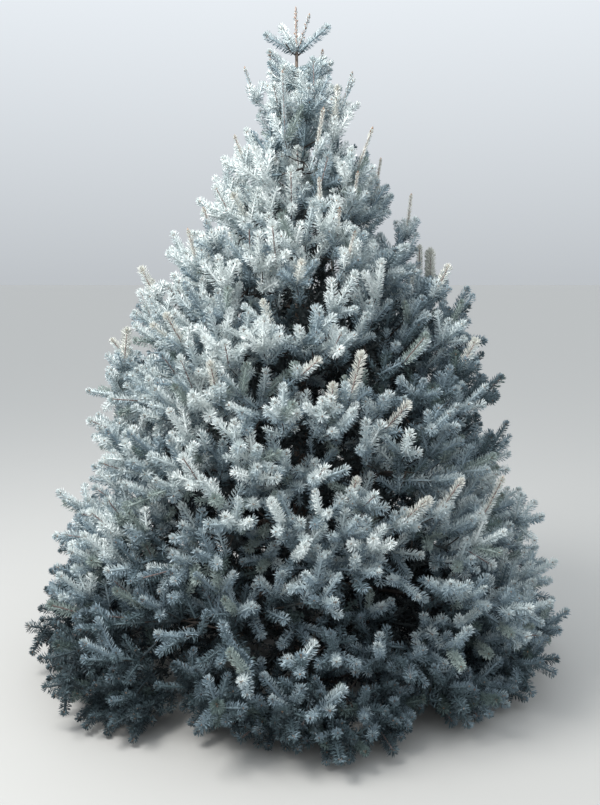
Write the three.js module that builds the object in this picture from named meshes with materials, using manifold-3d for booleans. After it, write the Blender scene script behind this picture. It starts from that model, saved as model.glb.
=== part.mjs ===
// A young blue spruce, 2.5 m tall and clothed to the ground: its trunk, its lower boughs and the masses of
// needled twigs that they carry. Millimetres, +Z up. The origin is the middle of the flat cut under the trunk,
// and the photograph looks along +Y.

import * as THREE from 'three';
import { mergeVertices } from 'three/addons/utils/BufferGeometryUtils.js';
import Module from 'manifold-3d';

const wasm = await Module();
wasm.setup();

// Driving sizes of the whole tree
const seed = 20317;
const treeHeight = 2500;
const clearance = 0.3; // between a limb and what it meets
const groundClearance = 9; // under the lowest needles

// Trunk: radius at the foot above the flare, at the tip, and what the root flare adds at the ground
const trunkFootRadius = 36;
const trunkTipRadius = 3;
const flareRadius = 17;
const flareHeight = 62;
const flareLobes = 5;
const flareLobeShare = 0.16;
const trunkLean = -16; // how far the tip stands to the left of the foot
const trunkSweep = 9; // sideways bow between them
const trunkSides = 9;
const leaderBudHeight = 14;
const trunkRings = [0, 14, 34, 66, 120, 260, 520, 840, 1180, 1520, 1840, 2120, 2330];

// Crown outline: a cone with a shoulder a little over half way down, drawn in at the skirt
const coneFootRadius = 1182;
const coneSlope = 0.46;
const shoulderHeight = 1223;
const shoulderWidth = 437;
const shoulderRadius = 114;
const skirtRadius = 925;
const skirtSlope = 0.35;

// Tiers, from the lowest whorl of boughs to the whorl under the leader
const boughsInTier = [5, 5, 5, 5, 5, 4, 4, 3, 3, 2, 2];
const tiersWithBoughs = 3; // above them the masses root on the trunk
const lowestTip = 168;
const internode = 257; // between the tips of the two lowest tiers
const internodeShrink = 6;
const tierTurn = 0.41; // of the angle between two boughs, from one tier to the next
const azimuthSway = 14;
const reachSway = 0.09;
const boughArch = 1.35; // power of the upward curve of a bough
const lowestRise = 0.05; // of the reach, by which a bough's tip stands above its root at the ground
const steadyRise = 0.33; // added by the top of the tree, in step with the height
const topRise = 0.9; // added near the top only
const topRisePower = 4;

// Boughs and the stems that carry on from them
const boughShare = 0.36; // of the reach, where bough gives way to foliage
const boughRootRadius = 13;
const boughTipRadius = 8.5;
const boughSides = 7;
const stemTipRadius = 3.5;
const stemSides = 3;
const stemSteps = 3;
const stemEndShare = 0.6; // of a brush's length before the tip, and of the reach at least
const shortStemShare = 0.5; // of the bough's tip radius, for the smallest stem

// Sprays: a slim three-sided twig whose outer part, the brush, carries six spikes of needles
const brushLength = 260;
const brushReach = 84; // from the twig to the tips of the needles
const shortBrushReach = 0.36; // of the length, on a short spray
const brushWidestAt = 0.58; // of the brush
const endSpikeShare = 0.8; // of the reach, for the spikes nearest the tip
const needleLean = 0.3; // how far a spike leans to the tip, as a share of its part of the brush
const twigRadius = 13;
const twigRootRadius = 5;
const shortestSpray = 105;
const shortestSprayShare = 0.42; // of the reach, on a small mass
const shortenBy = 0.88;
const spaceMargin = 5;
const smallestDetail = 7; // where sprays cross, finer edges are merged

// Where the sprays of a mass branch off and where they end
const tipSprayLength = 1.2; // of a brush, for the spray that ends the stem
const firstRootShare = 0.35; // of the reach, for its root at least
const lastRootShare = 0.85;
const rootGap = 12; // between the foot of the stem and the first root
const pairSpacing = 178; // along the outside of the crown, between two sprays of a mass
const pairShortfall = 0.2; // of a pair that a mass may lack
const mostPairs = 3;
const sideAngle = 50; // between the stem and a side twig
const edgeShare = 0.85; // of the needles' reach that an outer spray keeps from the edge of its space
const lift = 80; // side twigs end above and below the middle line in turn
const liftSway = 46;
const fullLiftReach = 480; // shorter masses are flatter
const rimSway = 0.1; // of the reach, by which a side twig may stop short
const upperSprays = [0.62]; // of the reach, where a spray rises from the stem
const upperSpraysNoCore = [0.62, 0.3];
const upperTilt = 44;
const upperSway = 50;

// Cores of dense needles inside the larger masses
const coreFromReach = 330; // masses that reach less far have none
const coreInner = 0.385;
const coreOuter = 0.82;
const coreWidthShare = 0.85; // of the sector
const coreHeight = 0.46; // of the height between two tiers
const coreSides = 7;
const coreBands = 4;
const corePower = 2.6; // squareness of its section
const barestShare = 0.7; // of a brush that always shows
const sunkStep = 10;
const sunkShare = 0.78; // of the way to the core's surface, where twigs inside it are left out

// Last keys of the seeded draws, so that no two draws share their keys
const draws = { azimuth: 1, reach: 2, rim: 6, rise: 8, turn: 9, upper: 12, upperSpray: 70, tipSpray: 90 };

const radians = THREE.MathUtils.degToRad;
const up = new THREE.Vector3(0, 0, 1);

// A number from 0 to 1 that depends only on the seed and the keys.
function chance(...keys) {
  let hash = seed;
  for (const key of keys) {
    hash = Math.imul(hash ^ (key + 1), 0x9e3779b1);
    hash ^= hash >>> 15;
  }
  return (hash >>> 0) / 4294967296;
}

const sway = (amount, ...keys) => amount * (chance(...keys) - 0.5);

// Trunk

function trunkCentre(z) {
  const share = z / treeHeight;
  return trunkLean * share + trunkSweep * Math.sin(Math.PI * share);
}

function trunkRadius(z) {
  const taper = 1 - z / treeHeight;
  return trunkTipRadius + (trunkFootRadius - trunkTipRadius) * taper + flareRadius * Math.exp(-z / flareHeight);
}

function flareLobe(angle, z) {
  return 1 + flareLobeShare * Math.exp(-z / flareHeight) * Math.cos(flareLobes * angle);
}

// The trunk turned on a lathe, then swept along its lean and drawn out into root lobes at the foot.
function trunkGeometry(grown) {
  const profile = [new THREE.Vector2(0, 0)];
  for (const z of trunkRings) profile.push(new THREE.Vector2(trunkRadius(z) + grown, z));
  profile.push(new THREE.Vector2(trunkTipRadius + 1 + grown, treeHeight - leaderBudHeight));
  profile.push(new THREE.Vector2(0, treeHeight + grown));
  const geometry = new THREE.LatheGeometry(profile, trunkSides).rotateX(Math.PI / 2);
  const place = geometry.getAttribute('position');
  for (let i = 0; i < place.count; i++) {
    const z = place.getZ(i);
    const lobe = flareLobe(Math.atan2(place.getY(i), place.getX(i)), z);
    place.setXYZ(i, trunkCentre(z) + place.getX(i) * lobe, place.getY(i) * lobe, z);
  }
  return geometry;
}

// Solids

function solidOf(geometry) {
  for (const name of ['normal', 'uv']) geometry.deleteAttribute(name);
  const merged = mergeVertices(geometry, 1e-3);
  return new wasm.Manifold(
    new wasm.Mesh({
      numProp: 3,
      vertProperties: new Float32Array(merged.getAttribute('position').array),
      triVerts: new Uint32Array(merged.index.array),
    }),
  );
}

function geometryOf(solid) {
  const mesh = solid.getMesh();
  return new THREE.BufferGeometry()
    .setAttribute('position', new THREE.BufferAttribute(mesh.vertProperties, 3))
    .setIndex(new THREE.BufferAttribute(mesh.triVerts, 1));
}

// The largest piece of a solid, with its sealed hollows filled and loose scraps dropped.
function largestPiece(solid) {
  return solid.decompose().reduce((best, piece) => (piece.volume() > best.volume() ? piece : best));
}

// A round or three-sided limb that tapers along a path.
function limb(pathAt, radiusAt, sides, steps) {
  const geometry = new THREE.CylinderGeometry(1, 1, 1, sides, steps);
  const place = geometry.getAttribute('position');
  const step = 1e-3;
  for (let i = 0; i < place.count; i++) {
    const t = place.getY(i) + 0.5;
    const along = pathAt(t + step).sub(pathAt(t - step)).normalize();
    const side = new THREE.Vector3().crossVectors(along, up).normalize();
    const over = new THREE.Vector3().crossVectors(side, along);
    const centre = pathAt(t);
    centre.addScaledVector(side, place.getX(i) * radiusAt(t));
    centre.addScaledVector(over, place.getZ(i) * radiusAt(t));
    place.setXYZ(i, centre.x, centre.y, centre.z);
  }
  return solidOf(geometry);
}

// Crown

function crownRadius(z) {
  const shoulder = shoulderRadius * Math.exp(-(((z - shoulderHeight) / shoulderWidth) ** 2));
  return Math.min(coneFootRadius - coneSlope * z + shoulder, skirtRadius + skirtSlope * z);
}

const tiers = boughsInTier.map((count, index) => {
  const tipHeight = lowestTip + index * internode - (index * (index + 1) * internodeShrink) / 2;
  const share = tipHeight / treeHeight;
  const reach = crownRadius(tipHeight);
  const rise = reach * (lowestRise + steadyRise * share + topRise * share ** topRisePower);
  const azimuths = [];
  for (let i = 0; i < count; i++) {
    azimuths.push(((i + tierTurn * index) * 360) / count + sway(azimuthSway, index, i, draws.azimuth));
  }
  return { index, count, reach, rise, rootHeight: tipHeight - rise, azimuths };
});

const axisHeight = (tier, r) => tier.rootHeight + tier.rise * (r / tier.reach) ** boughArch;

// A bough or a mass has its own bearing from the trunk and its own reach.
function placeOf(tier, index) {
  const { azimuths, count } = tier;
  const bearing = azimuths[index];
  const next = index + 1 < count ? azimuths[index + 1] : azimuths[0] + 360;
  const last = index > 0 ? azimuths[index - 1] : azimuths[count - 1] - 360;
  return {
    tier,
    index,
    bearing,
    leftEdge: (next - bearing) / 2,
    rightEdge: (bearing - last) / 2,
    reach: tier.reach * (1 + sway(reachSway, tier.index, index, draws.reach)),
  };
}

// A point at a distance from the trunk's own middle line, turned from a bough and raised above it.
function offAxis(place, r, turn, rise) {
  const z = axisHeight(place.tier, r) + rise;
  const angle = radians(place.bearing + turn);
  return new THREE.Vector3(trunkCentre(z) + r * Math.cos(angle), r * Math.sin(angle), z);
}

const onAxis = (place, r) => offAxis(place, r, 0, 0);

// The height where one tier gives way to the next at a distance from the trunk.
function tierTop(tier, r) {
  const above = tiers[tier.index + 1];
  if (!above || r > above.reach * (1 + reachSway)) return Infinity;
  return (axisHeight(tier, r) + axisHeight(above, r)) / 2;
}

function tierFoot(tier, r) {
  return tier.index ? tierTop(tiers[tier.index - 1], r) : 0;
}

// A point as its distance from the trunk's middle line and its angle from the bough.
function polar(place, point) {
  const x = point.x - trunkCentre(point.z);
  const angle = THREE.MathUtils.radToDeg(Math.atan2(point.y, x)) - place.bearing;
  return { r: Math.hypot(x, point.y), turn: THREE.MathUtils.euclideanModulo(angle + 180, 360) - 180 };
}

// True where a point lies in the space that belongs to one mass.
function inSpace(place, point) {
  const { r, turn } = polar(place, point);
  const edge = turn > 0 ? place.leftEdge - turn : place.rightEdge + turn;
  const toEdge = edge > 90 ? r : r * Math.sin(radians(edge));
  return (
    toEdge > spaceMargin &&
    r > trunkRadius(point.z) + spaceMargin &&
    point.z > Math.max(tierFoot(place.tier, r) + spaceMargin, groundClearance) &&
    point.z < tierTop(place.tier, r) - spaceMargin &&
    point.z < treeHeight &&
    r < Math.max(place.reach, crownRadius(point.z)) * (1 + reachSway / 2)
  );
}

// Cores

// The middle, half length, half angle and half height of the core that fills the inside of a large mass.
function coreOf(place, hand) {
  const { tier, reach } = place;
  return {
    middle: (reach * (coreInner + coreOuter)) / 2,
    half: (reach * (coreOuter - coreInner)) / 2,
    angle: coreWidthShare * (hand > 0 ? place.leftEdge : place.rightEdge),
    height: coreHeight * (tiers[tier.index + 1].rootHeight - tier.rootHeight),
  };
}

const hasCore = (place) => place.reach > coreFromReach;

// How squarely rounded a core is: 1 on its surface, less inside.
const depthIn = (...xyz) => xyz.reduce((sum, share) => sum + Math.abs(share) ** corePower, 0) ** (1 / corePower);

function insideCore(place, point) {
  const { r, turn } = polar(place, point);
  const { middle, half, angle, height } = coreOf(place, turn);
  return depthIn((r - middle) / half, turn / angle, (point.z - axisHeight(place.tier, r)) / height) < sunkShare;
}

function coreSolid(place) {
  const geometry = new THREE.SphereGeometry(1, coreSides, coreBands).rotateX(Math.PI / 2);
  const spot = geometry.getAttribute('position');
  for (let i = 0; i < spot.count; i++) {
    const corner = new THREE.Vector3().fromBufferAttribute(spot, i);
    corner.divideScalar(depthIn(corner.x, corner.y, corner.z));
    const { middle, half, angle, height } = coreOf(place, corner.y);
    const surface = offAxis(place, middle + half * corner.x, corner.y * angle, corner.z * height);
    spot.setXYZ(i, surface.x, surface.y, surface.z);
  }
  return solidOf(geometry);
}

// Sprays

// The corners and faces of a needled twig: three corners at the root and where it is widest, one at the tip,
// and a spike of needles raised on each of its six side faces.
function sprayMesh(root, tip, turn) {
  const length = root.distanceTo(tip);
  const brush = Math.min(brushLength, length);
  const reach = Math.min(brushReach, brush * shortBrushReach);
  const start = length - brush;
  const widest = start + brush * brushWidestAt;
  const corners = [];
  const addRing = (radius, z, turnBy) => {
    for (let i = 0; i < 3; i++) {
      const angle = turnBy + (i * 2 * Math.PI) / 3;
      corners.push(new THREE.Vector3(radius * Math.cos(angle), radius * Math.sin(angle), z));
    }
  };
  addRing(twigRootRadius, 0, turn);
  addRing(twigRadius, widest, turn);
  corners.push(new THREE.Vector3(0, 0, length));
  addRing(reach, start + (widest - start) * (0.5 + needleLean), turn + Math.PI / 3);
  addRing(reach * endSpikeShare, widest + (length - widest) * (1 / 3 + needleLean), turn + Math.PI / 3);
  const faces = [[0, 2, 1]];
  const raise = (edge, spike) => {
    edge.forEach((corner, i) => faces.push([corner, edge[(i + 1) % edge.length], spike]));
  };
  for (let i = 0; i < 3; i++) {
    const next = (i + 1) % 3;
    raise([i, next, 3 + next, 3 + i], 7 + i);
    raise([3 + i, 3 + next, 6], 10 + i);
  }
  const way = new THREE.Vector3().subVectors(tip, root).normalize();
  const turnTo = new THREE.Quaternion().setFromUnitVectors(up, way);
  for (const corner of corners) corner.applyQuaternion(turnTo).add(root);
  return { corners, faces };
}

// A spray as long as its space allows, or none.
function fittingSpray(place, root, way, longest, turn) {
  const shortest = Math.min(shortestSpray, place.reach * shortestSprayShare);
  for (let length = longest; length > shortest; length *= shortenBy) {
    const spray = sprayMesh(root, root.clone().addScaledVector(way, length), turn);
    if (spray.corners.slice(3).every((corner) => inSpace(place, corner))) return { root, way, length, turn };
  }
  return null;
}

// The direction of a stem at a distance from the trunk, turned sideways and tilted up or down.
function turned(place, r, sideways, tilt) {
  const along = onAxis(place, r + 1).sub(onAxis(place, r)).normalize();
  const side = new THREE.Vector3().crossVectors(along, up).normalize();
  const over = new THREE.Vector3().crossVectors(side, along);
  return along
    .multiplyScalar(Math.cos(radians(sideways)))
    .addScaledVector(side, Math.sin(radians(sideways)))
    .multiplyScalar(Math.cos(radians(tilt)))
    .addScaledVector(over, Math.sin(radians(tilt)))
    .normalize();
}

// Every spray of one mass: the tip of the stem, the side twigs in pairs, and those that rise from the stem.
function spraysOf(place, stemStart) {
  const { tier, reach } = place;
  const keys = [tier.index, place.index];
  const sprays = [];
  const add = (root, target, key) => {
    const way = target.clone().sub(root);
    const longest = way.length();
    const turn = chance(...keys, key, draws.turn) * 2 * Math.PI;
    const spray = fittingSpray(place, root, way.normalize(), longest, turn);
    if (spray) sprays.push(spray);
    return spray;
  };
  const tipRoot = Math.max(reach - brushLength * tipSprayLength, reach * firstRootShare, stemStart);
  add(onAxis(place, tipRoot), onAxis(place, reach), draws.tipSpray);
  const margin = THREE.MathUtils.radToDeg((brushReach * edgeShare) / reach);
  const arc = radians(place.leftEdge + place.rightEdge) * reach;
  const pairs = THREE.MathUtils.clamp(Math.round(arc / 2 / pairSpacing - pairShortfall), 1, mostPairs);
  for (let pair = 1; pair <= pairs; pair++) {
    for (const hand of [-1, 1]) {
      const edge = (hand > 0 ? place.leftEdge : place.rightEdge) - margin;
      const offset = hand * edge * (pair / pairs);
      const rim = reach * (1 - rimSway * chance(...keys, pair, hand + draws.rim));
      const across = rim * Math.sin(radians(Math.abs(offset)));
      const back = across / Math.tan(radians(sideAngle));
      const r = Math.max(rim * Math.cos(radians(offset)) - back, stemStart + rootGap);
      const side = (pair + (hand > 0 ? 1 : 0)) % 2 ? 1 : -1;
      const swayed = side * lift + sway(liftSway, ...keys, pair, hand + draws.rise);
      const rise = swayed * Math.min(1, reach / fullLiftReach);
      const root = onAxis(place, Math.min(r, reach * lastRootShare));
      for (const share of [1, 0.5, 0]) {
        if (add(root, offAxis(place, rim, offset, rise * share), 10 * pair + hand)) break;
      }
    }
  }
  (hasCore(place) ? upperSprays : upperSpraysNoCore).forEach((share, i) => {
    const r = Math.max(reach * share, stemStart + rootGap);
    const way = turned(place, r, sway(upperSway, ...keys, i, draws.upper), upperTilt);
    const root = onAxis(place, r);
    add(root, root.clone().addScaledVector(way, brushLength), draws.upperSpray + i);
  });
  return sprays;
}

// The solid of a spray, without the part of its twig that a core hides.
function spraySolid(place, { root, way, length, turn }) {
  let start = 0;
  for (let t = 0; hasCore(place) && t < length - brushLength * barestShare; t += sunkStep) {
    if (insideCore(place, root.clone().addScaledVector(way, t))) start = t;
  }
  const from = root.clone().addScaledVector(way, start);
  const { corners, faces } = sprayMesh(from, root.clone().addScaledVector(way, length), turn);
  return solidOf(
    new THREE.BufferGeometry()
      .setAttribute('position', new THREE.Float32BufferAttribute(corners.flatMap((c) => c.toArray()), 3))
      .setIndex(faces.flat()),
  );
}

// Limbs of one place in a tier

const trunkSolid = solidOf(trunkGeometry(0));
const trunkSpace = solidOf(trunkGeometry(clearance));

const limbRadius = (tier) => boughTipRadius * Math.max(shortStemShare, tier.reach / tiers[1].reach);

function boughSolid(place) {
  const end = place.reach * boughShare;
  const pathAt = (t) => onAxis(place, Math.max(end * t, 1));
  const radiusAt = (t) => THREE.MathUtils.lerp(boughRootRadius, boughTipRadius, t);
  return largestPiece(limb(pathAt, radiusAt, boughSides, stemSteps).subtract(trunkSpace));
}

function massSolid(place) {
  const { tier, reach } = place;
  const onBough = tier.index < tiersWithBoughs;
  const start = onBough ? reach * boughShare + clearance : 1;
  const end = Math.max(reach - brushLength * stemEndShare, reach * stemEndShare);
  const radius = limbRadius(tier);
  const stem = limb(
    (t) => onAxis(place, start + (end - start) * t),
    (t) => THREE.MathUtils.lerp(radius, stemTipRadius, t),
    stemSides,
    stemSteps,
  );
  const sprays = spraysOf(place, onBough ? start : trunkRadius(tier.rootHeight));
  const solids = sprays.map((spray) => spraySolid(place, spray));
  if (hasCore(place)) solids.push(coreSolid(place));
  const sprayed = wasm.Manifold.union(solids);
  const plain = hasCore(place) ? sprayed.simplify(smallestDetail) : sprayed;
  return largestPiece(plain.add(stem).subtract(trunkSpace));
}

// The tree as named meshes

const barkColour = 0x6e6259;
const needleColours = [0x8ea3ad, 0x9aafb8, 0x869ba7, 0xa5b6bd];

function named(name, solid, color, roughness) {
  const material = new THREE.MeshStandardMaterial({ color, roughness, metalness: 0 });
  const mesh = new THREE.Mesh(geometryOf(solid), material);
  mesh.name = name;
  return mesh;
}

const tree = new THREE.Group();
tree.add(named('trunk', trunkSolid, barkColour, 0.95));
for (const tier of tiers) {
  for (let i = 0; i < tier.count; i++) {
    const place = placeOf(tier, i);
    const label = String(tier.index + 1).padStart(2, '0') + '_' + (i + 1);
    if (tier.index < tiersWithBoughs) tree.add(named('bough_' + label, boughSolid(place), barkColour, 0.95));
    const colour = needleColours[(tier.index + i) % needleColours.length];
    tree.add(named('foliage_' + label, massSolid(place), colour, 0.8));
  }
}

export default tree;
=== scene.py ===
import math

import bpy
import numpy as np
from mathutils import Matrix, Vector


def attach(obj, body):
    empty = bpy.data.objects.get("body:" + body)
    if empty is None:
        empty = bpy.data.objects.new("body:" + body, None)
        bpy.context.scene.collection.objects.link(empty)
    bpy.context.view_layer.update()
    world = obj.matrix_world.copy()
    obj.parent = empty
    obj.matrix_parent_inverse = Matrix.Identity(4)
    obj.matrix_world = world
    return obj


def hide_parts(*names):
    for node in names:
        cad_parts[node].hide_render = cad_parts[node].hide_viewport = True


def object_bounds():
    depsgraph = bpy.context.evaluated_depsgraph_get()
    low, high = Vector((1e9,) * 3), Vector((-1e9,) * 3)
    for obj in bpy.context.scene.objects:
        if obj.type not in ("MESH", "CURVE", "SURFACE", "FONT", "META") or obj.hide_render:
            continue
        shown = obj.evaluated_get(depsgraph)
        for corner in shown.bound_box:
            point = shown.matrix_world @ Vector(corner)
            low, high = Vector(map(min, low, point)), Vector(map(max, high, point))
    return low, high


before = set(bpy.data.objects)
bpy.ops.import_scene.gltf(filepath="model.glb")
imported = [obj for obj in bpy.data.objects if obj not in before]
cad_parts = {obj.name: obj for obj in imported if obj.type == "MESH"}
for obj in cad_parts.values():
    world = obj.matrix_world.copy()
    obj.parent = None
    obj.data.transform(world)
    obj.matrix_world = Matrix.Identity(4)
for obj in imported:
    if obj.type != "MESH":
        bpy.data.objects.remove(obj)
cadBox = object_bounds()
print("frame loaded:", len(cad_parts), "solids")

# lengths in the growth rule are millimetres, and the meshes are metres
mm = 0.001

# the rule that the whole tree grows by
tree = {
    "seed": 20317,
    "height": 2500,
    "groundClearance": 9,
    "trunkFoot": 36,
    "trunkTip": 3,
    "flare": 17,
    "flareHeight": 62,
    "lean": -16,
    "sweep": 9,
}
crown = {
    "footRadius": 1182,
    "slope": 0.46,
    "shoulderHeight": 1223,
    "shoulderWidth": 437,
    "shoulder": 114,
    "skirtRadius": 925,
    "skirtSlope": 0.35,
}
whorls = {
    "boughs": [5, 5, 5, 5, 5, 4, 4, 3, 3, 2, 2],
    "withBoughs": 3,
    "lowestTip": 168,
    "internode": 257,
    "shrink": 6,
    "turn": 0.41,
    "azimuthSway": 14,
    "reachSway": 0.09,
    "arch": 1.35,
    "boughShare": 0.36,
    "rise": (0.05, 0.33, 0.9),  # of a bough's tip over its root, as shares of its reach
}
sideTwigs = {
    "brush": 260,
    "brushReach": 84,
    "slimmest": 0.36,  # most that a spray reaches sideways, as a share of its length
    "widestAt": 0.58,
    "endSpike": 0.8,
    "lean": 0.3,
    "twigRadius": 13,
    "stemGap": 12,  # from a stem's start to its first side twig
    "lastRoot": 0.85,
    "shortest": 105,
    "shortestShare": 0.42,
    "shorten": 0.88,
    "margin": 5,
    "pairSpacing": 178,
    "mostPairs": 3,
    "angle": 50,
    "edgeShare": 0.85,
    "lift": 80,
    "liftSway": 46,
    "fullLiftReach": 480,
    "rimSway": 0.1,
    "upperAt": [0.62],
    "upperAtTop": [0.62, 0.3],  # on masses that reach less far than this
    "topReach": 330,
    "upperTilt": 44,
    "upperSway": 50,
}
upwards = Vector((0, 0, 1))


def chance(*keys):
    number = tree["seed"]
    for key in keys:
        number = ((number ^ (key + 1)) * 0x9E3779B1) & 0xFFFFFFFF
        number ^= number >> 15
    return number / 4294967296


def sway(amount, *keys):
    return amount * (chance(*keys) - 0.5)


def trunkCentre(z):
    share = z / tree["height"]
    return tree["lean"] * share + tree["sweep"] * math.sin(math.pi * share)


def trunkRadius(z):
    taper = 1 - z / tree["height"]
    flare = tree["flare"] * math.exp(-z / tree["flareHeight"])
    return tree["trunkTip"] + (tree["trunkFoot"] - tree["trunkTip"]) * taper + flare


def crownRadius(z):
    shoulder = crown["shoulder"] * math.exp(-(((z - crown["shoulderHeight"]) / crown["shoulderWidth"]) ** 2))
    cone = crown["footRadius"] - crown["slope"] * z + shoulder
    return min(cone, crown["skirtRadius"] + crown["skirtSlope"] * z)


def makeTiers():
    tiers = []
    for index, count in enumerate(whorls["boughs"]):
        tip = whorls["lowestTip"] + index * whorls["internode"] - index * (index + 1) * whorls["shrink"] / 2
        share = tip / tree["height"]
        reach = crownRadius(tip)
        rise = reach * (whorls["rise"][0] + whorls["rise"][1] * share + whorls["rise"][2] * share**4)
        bearings = []
        for i in range(count):
            even = (i + whorls["turn"] * index) * 360 / count
            bearings.append(even + sway(whorls["azimuthSway"], index, i, 1))
        tier = {"index": index, "count": count, "reach": reach, "rise": rise, "root": tip - rise}
        tiers.append({**tier, "bearings": bearings})
    return tiers


tiers = makeTiers()


def halfSpace(tier):
    # half the height between a whorl and the next
    return whorls["internode"] / 2 - tier["index"] * whorls["shrink"] / 2


def axisHeight(tier, r):
    return tier["root"] + tier["rise"] * (max(r, 0) / tier["reach"]) ** whorls["arch"]


def placeOf(tier, index):
    bearings = tier["bearings"]
    count = tier["count"]
    bearing = bearings[index]
    after = bearings[index + 1] if index + 1 < count else bearings[0] + 360
    before = bearings[index - 1] if index > 0 else bearings[count - 1] - 360
    return {
        "tier": tier,
        "index": index,
        "name": "foliage_%02d_%d" % (tier["index"] + 1, index + 1),
        "bearing": bearing,
        "left": (after - bearing) / 2,
        "right": (bearing - before) / 2,
        "reach": tier["reach"] * (1 + sway(whorls["reachSway"], tier["index"], index, 2)),
    }


def pointAt(r, bearing, z):
    # the point at a bearing and a distance from the trunk's centre line
    angle = math.radians(bearing)
    return Vector((trunkCentre(z) + r * math.cos(angle), r * math.sin(angle), z))


def wayOf(bearing, rise):
    bearing, rise = math.radians(bearing), math.radians(rise)
    return Vector((math.cos(bearing) * math.cos(rise), math.sin(bearing) * math.cos(rise), math.sin(rise)))


def offAxis(place, r, turn, rise):
    return pointAt(r, place["bearing"] + turn, axisHeight(place["tier"], r) + rise)


def onAxis(place, r):
    return offAxis(place, r, 0, 0)


def tierTop(tier, r):
    if tier["index"] + 1 == len(tiers):
        return math.inf
    above = tiers[tier["index"] + 1]
    if r > above["reach"] * (1 + whorls["reachSway"]):
        return math.inf
    return (axisHeight(tier, r) + axisHeight(above, r)) / 2


def tierFoot(tier, r):
    return tierTop(tiers[tier["index"] - 1], r) if tier["index"] else 0


def polar(place, point):
    x = point.x - trunkCentre(point.z)
    angle = math.degrees(math.atan2(point.y, x)) - place["bearing"]
    return math.hypot(x, point.y), (angle + 180) % 360 - 180


def sideWidth(place, turn):
    # the angle from a mass's middle to its left or right side
    return place["left"] if turn > 0 else place["right"]


def insideBy(place, r, turn):
    # how far a point is from the nearer side of its mass
    edge = sideWidth(place, turn) - abs(turn)
    return r if edge > 90 else r * math.sin(math.radians(edge))


def inSpace(place, point, margin):
    r, turn = polar(place, point)
    return (
        insideBy(place, r, turn) > margin
        and r > trunkRadius(point.z) + margin
        and point.z > max(tierFoot(place["tier"], r) + margin, tree["groundClearance"])
        and point.z < tierTop(place["tier"], r) - margin
        and point.z < tree["height"]
        and r < max(place["reach"], crownRadius(point.z)) * (1 + whorls["reachSway"] / 2)
    )


def aroundWay(way):
    side = way.cross(upwards)
    side = side.normalized() if side.length > 1e-6 else Vector((1, 0, 0))
    return side, side.cross(way)


def brushCorners(root, way, length, turn):
    # the tip and the six spikes of the solid spray, to skip the same twigs as the source does
    brush = min(sideTwigs["brush"], length)
    reach = min(sideTwigs["brushReach"], brush * sideTwigs["slimmest"])
    start = length - brush
    widest = start + brush * sideTwigs["widestAt"]
    lean = sideTwigs["lean"]
    rings = [
        (sideTwigs["twigRadius"], widest, turn),
        (reach, start + (widest - start) * (0.5 + lean), turn + math.pi / 3),
        (reach * sideTwigs["endSpike"], widest + (length - widest) * (1 / 3 + lean), turn + math.pi / 3),
    ]
    corners = [Vector((0, 0, length))]
    for radius, z, turnBy in rings:
        for i in range(3):
            angle = turnBy + i * 2 * math.pi / 3
            corners.append(Vector((radius * math.cos(angle), radius * math.sin(angle), z)))
    turnTo = upwards.rotation_difference(way)
    return [turnTo @ corner + root for corner in corners]


def fittingTwig(place, root, way, longest, turn):
    length = longest
    while length > min(sideTwigs["shortest"], place["reach"] * sideTwigs["shortestShare"]):
        corners = brushCorners(root, way, length, turn)
        if all(inSpace(place, corner, sideTwigs["margin"]) for corner in corners):
            return {"root": root, "way": way, "length": length}
        length *= sideTwigs["shorten"]
    return None


def turned(place, r, sideways, tilt):
    along = (onAxis(place, r + 1) - onAxis(place, r)).normalized()
    side, over = aroundWay(along)
    flat = along * math.cos(math.radians(sideways)) + side * math.sin(math.radians(sideways))
    return (flat * math.cos(math.radians(tilt)) + over * math.sin(math.radians(tilt))).normalized()


def stemStartOf(place):
    tier = place["tier"]
    if tier["index"] < whorls["withBoughs"]:
        return place["reach"] * whorls["boughShare"]
    return trunkRadius(tier["root"])


def rootFor(place, rim, offset):
    # where on the stem a side twig leaves at the rule's angle to end at that place on the outside
    across = rim * math.sin(math.radians(abs(offset)))
    back = across / math.tan(math.radians(sideTwigs["angle"]))
    r = max(rim * math.cos(math.radians(offset)) - back, stemStartOf(place) + sideTwigs["stemGap"])
    return min(r, place["reach"] * sideTwigs["lastRoot"])


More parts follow.
